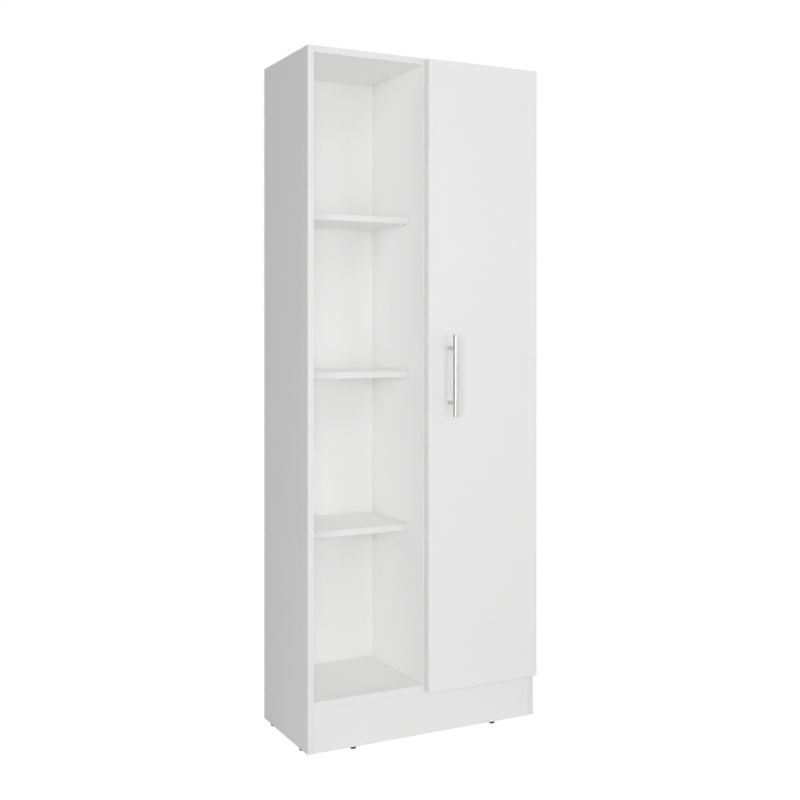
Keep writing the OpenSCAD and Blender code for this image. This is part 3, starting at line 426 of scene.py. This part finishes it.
def board_material(node_name, across, raw_a=NOWHERE, raw_b=NOWHERE, plain=NOWHERE,
                   base=MELAMINE_WHITE, band=EDGE_BAND_PAINTED_SHADE):
    """White board: film on its faces, banding and a glue line at its edges, raw chip behind."""
    material, tree, shader = start_material("melamine_" + node_name, IOR=FILM_IOR,
                                            Specular_IOR_Level=FILM_SPECULAR)
    low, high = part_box(node_name)
    zones = use_group(tree, board_zones, Low=low, High=high, Across=across, Raw_A=raw_a,
                      Raw_B=raw_b, Plain=plain)
    film = use_group(tree, melamine_film, Base=opaque(base))
    chips = use_group(tree, chipboard)
    # The band tone, and the base where it is not MELAMINE_WHITE, are painted shade and painted
    # light set per board
    colour = mix_colour(tree, zones.outputs["Edge"], film.outputs["Color"], band)
    colour = mix_colour(tree, zones.outputs["Glue"], colour, GLUE_LINE)
    colour = mix_colour(tree, zones.outputs["Raw"], colour, chips.outputs["Color"])
    link(tree, colour, shader.inputs["Base Color"])
    rough = math_node(tree, "MULTIPLY_ADD", zones.outputs["Edge"], BAND_ROUGHER,
                      film.outputs["Roughness"])
    rough = math_node(tree, "MULTIPLY_ADD", zones.outputs["Raw"], CHIP_ROUGHER, rough)
    link(tree, rough, shader.inputs["Roughness"])
    film_height = math_node(tree, "MULTIPLY", film.outputs["Height"], PEARL_DEPTH)
    chip_height = math_node(tree, "MULTIPLY", chips.outputs["Height"], zones.outputs["Raw"])
    height = math_node(tree, "ADD", film_height, chip_height)
    join_bump(tree, shader, height, SKIN_BUMP, SKIN_DEPTH)
    return material


def sheet_material(name):
    """Hardboard: white lacquer towards the shelves, brown pressed fibre on its other faces."""
    material, tree, shader = start_material(name, IOR=FILM_IOR, Specular_IOR_Level=FILM_SPECULAR)
    film = use_group(tree, melamine_film, Roughness=SHEET_ROUGHNESS)
    facing = tree.nodes.new("ShaderNodeNewGeometry").outputs["True Normal"]
    rear = math_node(tree, "GREATER_THAN", cosine(tree, facing, Y), BROWN_FROM)
    place = object_place(tree)
    drawn = vector_math(tree, "MULTIPLY", place, FIBRE_ALONG_Z).outputs[0]
    fibre = noise(tree, drawn, FIBRE_SCALE, detail=5.0, roughness=0.65)
    mottle = noise(tree, place, MOTTLE_SCALE, detail=3.0)
    tone = math_node(tree, "MULTIPLY", fibre, BROWN_FIBRE)
    tone = math_node(tree, "MULTIPLY_ADD", mottle, BROWN_MOTTLE, tone)
    tone = math_node(tree, "ADD", tone, BROWN_LEAST)
    brown = toned(tree, HARDBOARD_BROWN, tone)
    link(tree, mix_colour(tree, rear, film.outputs["Color"], brown), shader.inputs["Base Color"])
    link(tree, math_node(tree, "MULTIPLY_ADD", rear, BROWN_ROUGHER, film.outputs["Roughness"]),
         shader.inputs["Roughness"])
    height = math_node(tree, "MULTIPLY", fibre, rear)
    height = math_node(tree, "MULTIPLY_ADD", film.outputs["Height"], PEARL_DEPTH, height)
    join_bump(tree, shader, height, SKIN_BUMP, SKIN_DEPTH)
    return material


def moulded_material(name, base, grain=1500.0, variation=0.05, roughness=0.5, bump=0.2,
                     metallic=0.0, **shader_values):
    """Plastic, rubber or a dull casting with a fine skin."""
    material, tree, shader = start_material(name, Metallic=metallic, **shader_values)
    skin = use_group(tree, moulded_skin, Base=opaque(base), Grain=grain, Variation=variation,
                     Roughness=roughness)
    link(tree, skin.outputs["Color"], shader.inputs["Base Color"])
    link(tree, skin.outputs["Roughness"], shader.inputs["Roughness"])
    join_bump(tree, shader, skin.outputs["Height"], bump, MOULD_DEPTH)
    return material


def metal_material(name, base, stretch, depth=0.2, roughness=0.3, bump=0.1):
    """Brushed, drawn or turned metal."""
    material, tree, shader = start_material(name, Metallic=1.0)
    lines = use_group(tree, brushed_lines, Stretch=stretch, Base=opaque(base), Depth=depth,
                      Roughness=roughness)
    link(tree, lines.outputs["Color"], shader.inputs["Base Color"])
    link(tree, lines.outputs["Roughness"], shader.inputs["Roughness"])
    join_bump(tree, shader, lines.outputs["Height"], bump, BRUSH_DEPTH)
    return material


def wood_material(name):
    """Beech of the dowels."""
    material, tree, shader = start_material(name, Roughness=0.65)
    grain = use_group(tree, beech_grain)
    link(tree, grain.outputs["Color"], shader.inputs["Base Color"])
    join_bump(tree, shader, grain.outputs["Height"], BEECH_BUMP, BEECH_DEPTH)
    return material


def dress(node_name, material):
    """Gives a CAD node its finished material."""
    data = nodes[node_name].data
    data.materials.clear()
    data.materials.append(material)


# The door's and the plinth's base tones and every band tone in this table are painted shade and
# painted light, set per board by how the lamps fall
BOARDS = {
    "left_side_panel": dict(across=X, raw_a=Y, raw_b=DOWN),
    "right_side_panel": dict(across=X, raw_a=Y, raw_b=DOWN, band=RIGHT_BAND_PAINTED_SHADE),
    "divider_panel": dict(across=X, raw_a=Y),
    "top_panel": dict(across=Z, raw_a=Y, plain=X),
    "bottom_panel": dict(across=Z, raw_a=Y, band=LOWER_BAND_PAINTED_LIGHT_AND_SHADE),
    "plinth_board": dict(across=Y, raw_a=DOWN, base=PLINTH_PAINTED_LIGHT_AND_SHADE),
    "door_panel": dict(across=Y, base=DOOR_FRONT_PAINTED_SHADE, band=DOOR_BAND_PAINTED_LIGHT),
}
for row in ("open", "inner"):
    for level in ("lower", "middle", "upper"):
        BOARDS["%s_shelf_%s" % (row, level)] = dict(across=Z, raw_a=Y)
for board_name, settings in BOARDS.items():
    dress(board_name, board_material(board_name, **settings))

hardboard = sheet_material("lacquered_hardboard")
white_plastic = moulded_material("moulded_white", PLASTIC_WHITE, roughness=0.4)
soft_bumper = moulded_material("soft_bumper", BUMPER_MILK, roughness=0.35, Subsurface_Weight=0.2)
cast_zinc = moulded_material("cast_zinc", ZINC_GREY, grain=1100.0, variation=0.25,
                             roughness=0.45, bump=0.4, metallic=1.0)
glide_plastic = moulded_material("glide_plastic", GLIDE_GREY, grain=1300.0, variation=0.12,
                                 roughness=0.42)
screw_steel = metal_material("zinc_plated_screws", PLATE_BRIGHT, EVEN, depth=0.25, roughness=0.28)
hinge_steel = metal_material("nickel_plated_steel", NICKEL, SHORT_LINES_ALONG_Y, roughness=0.24)
# The bar and the posts are one satin nickel; their two tones are painted shade and painted light
bar_metal_painted_shade = metal_material("satin_nickel_bar_painted_shade", BAR_NICKEL_PAINTED_SHADE, LINES_ALONG_Z, depth=0.25,
                           roughness=0.27)
post_metal_painted_light = metal_material("satin_nickel_posts_painted_light", POST_NICKEL_PAINTED_LIGHT, LINES_ALONG_Y, depth=0.25)
beech = wood_material("beech")
FINISHES = {
    hardboard: ("back_sheet_left", "back_sheet_right"),
    white_plastic: ("shelf_pegs", "cam_caps"),
    soft_bumper: ("door_bumpers",),
    cast_zinc: ("cam_locks",),
    glide_plastic: ("floor_glides",),
    screw_steel: ("cam_bolts", "double_ended_bolts", "divider_screws", "back_sheet_nails",
                  "glide_nails", "mounting_plate_screws", "hinge_arm_screws", "hinge_cup_screws",
                  "handle_screws"),
    hinge_steel: ("hinge_mounting_plates", "hinge_arms", "hinge_arm_pins", "hinge_outer_links",
                  "hinge_inner_links", "hinge_cups", "hinge_cup_pins"),
    bar_metal_painted_shade: ("handle_bar",),
    post_metal_painted_light: ("handle_posts",),
    beech: ("wooden_dowels",),
}
for material, names in FINISHES.items():
    for node_name in names:
        dress(node_name, material)


def make_floor():
    """A plain pale floor under the cupboard, lifted for the camera so that it meets the
    backdrop."""
    mesh = bpy.data.meshes.new("floor")
    corners = [(-FLOOR_HALF, -FLOOR_HALF, 0), (FLOOR_HALF, -FLOOR_HALF, 0),
               (FLOOR_HALF, FLOOR_HALF, 0), (-FLOOR_HALF, FLOOR_HALF, 0)]
    mesh.from_pydata(corners, [], [(0, 1, 2, 3)])
    floor = bpy.data.objects.new("floor", mesh)
    scene.collection.objects.link(floor)
    material, tree, shader = start_material("pale_floor", Roughness=0.9, Specular_IOR_Level=0.0)
    shader.inputs["Emission Color"].default_value = opaque(WHITE)
    seen = tree.nodes.new("ShaderNodeLightPath").outputs["Is Camera Ray"]
    link(tree, mix_colour(tree, seen, FLOOR_PALE, FLOOR_SEEN), shader.inputs["Base Color"])
    link(tree, math_node(tree, "MULTIPLY", seen, FLOOR_GLOW), shader.inputs["Emission Strength"])
    mesh.materials.append(material)


def make_area_light(name, place, aim, size, watts):
    """A white square studio light at a place, turned to a point."""
    data = bpy.data.lights.new(name, "AREA")
    data.shape = "SQUARE"
    data.size = size
    data.energy = watts
    data.color = WHITE
    made = bpy.data.objects.new(name, data)
    made.location = place
    made.rotation_euler = (Vector(aim) - Vector(place)).to_track_quat("-Z", "Y").to_euler()
    made.visible_camera = False
    scene.collection.objects.link(made)


def make_world():
    """Dim even light all round, and a white backdrop where the camera looks past the
    cupboard."""
    world = bpy.data.worlds.new("studio")
    world.use_nodes = True
    scene.world = world
    tree = world.node_tree
    background = tree.nodes["Background"]
    background.inputs["Color"].default_value = opaque(WHITE)
    seen = tree.nodes.new("ShaderNodeLightPath").outputs["Is Camera Ray"]
    link(tree, math_node(tree, "MULTIPLY_ADD", seen, 1.0 - WORLD_GLOW, WORLD_GLOW),
         background.inputs["Strength"])


def make_camera():
    """The fitted camera: level, and shifted so that the horizon is above the middle."""
    data = bpy.data.cameras.new("camera")
    data.sensor_width = SENSOR_WIDTH_MM
    data.lens = FOCAL_PIXELS * SENSOR_WIDTH_MM / IMAGE_PIXELS
    data.shift_y = -HORIZON_RISE_PIXELS / IMAGE_PIXELS
    made = bpy.data.objects.new("camera", data)
    made.location = CAMERA_PLACE
    made.rotation_euler = (math.radians(90), 0, -math.radians(CAMERA_YAW_DEG))
    scene.collection.objects.link(made)
    scene.camera = made


MIDDLE = (0.0, 0.0, 0.8)
# Each light: place, the point that it is turned to, size and watts
LIGHTS = {
    "front_low": ((2.0, -8.0, 1.0), MIDDLE, 2.4, 75.0),
    "front_broad": ((4.4, -8.2, 1.0), MIDDLE, 5.0, 55.0),
    "front_near": ((-1.25, -2.6, 0.95), MIDDLE, 0.5, 10.0),
    "left_high": ((-5.6, -8.6, 3.6), MIDDLE, 4.0, 135.0),
    "left_low": ((-6.2, -6.0, 1.0), MIDDLE, 2.4, 152.0),
    "right_low": ((8.0, -6.0, 1.0), MIDDLE, 4.0, 180.0),
    "top": ((0.0, -2.5, 8.0), MIDDLE, 5.0, 45.0),
    "top_front": ((0.6, -6.5, 6.5), MIDDLE, 5.0, 125.0),
    "bay": ((-0.9, -2.4, 0.35), (-0.14, 0.1, 1.3), 0.6, 3.0),
    "rear": ((4.0, 9.0, 3.0), MIDDLE, 6.0, 80.0),
}
make_camera()
make_floor()
make_world()
for light_name, (place, aim, size, watts) in LIGHTS.items():
    make_area_light(light_name, place, aim, size, watts)
scene.view_settings.view_transform = "Standard"
scene.view_settings.gamma = VIEW_GAMMA
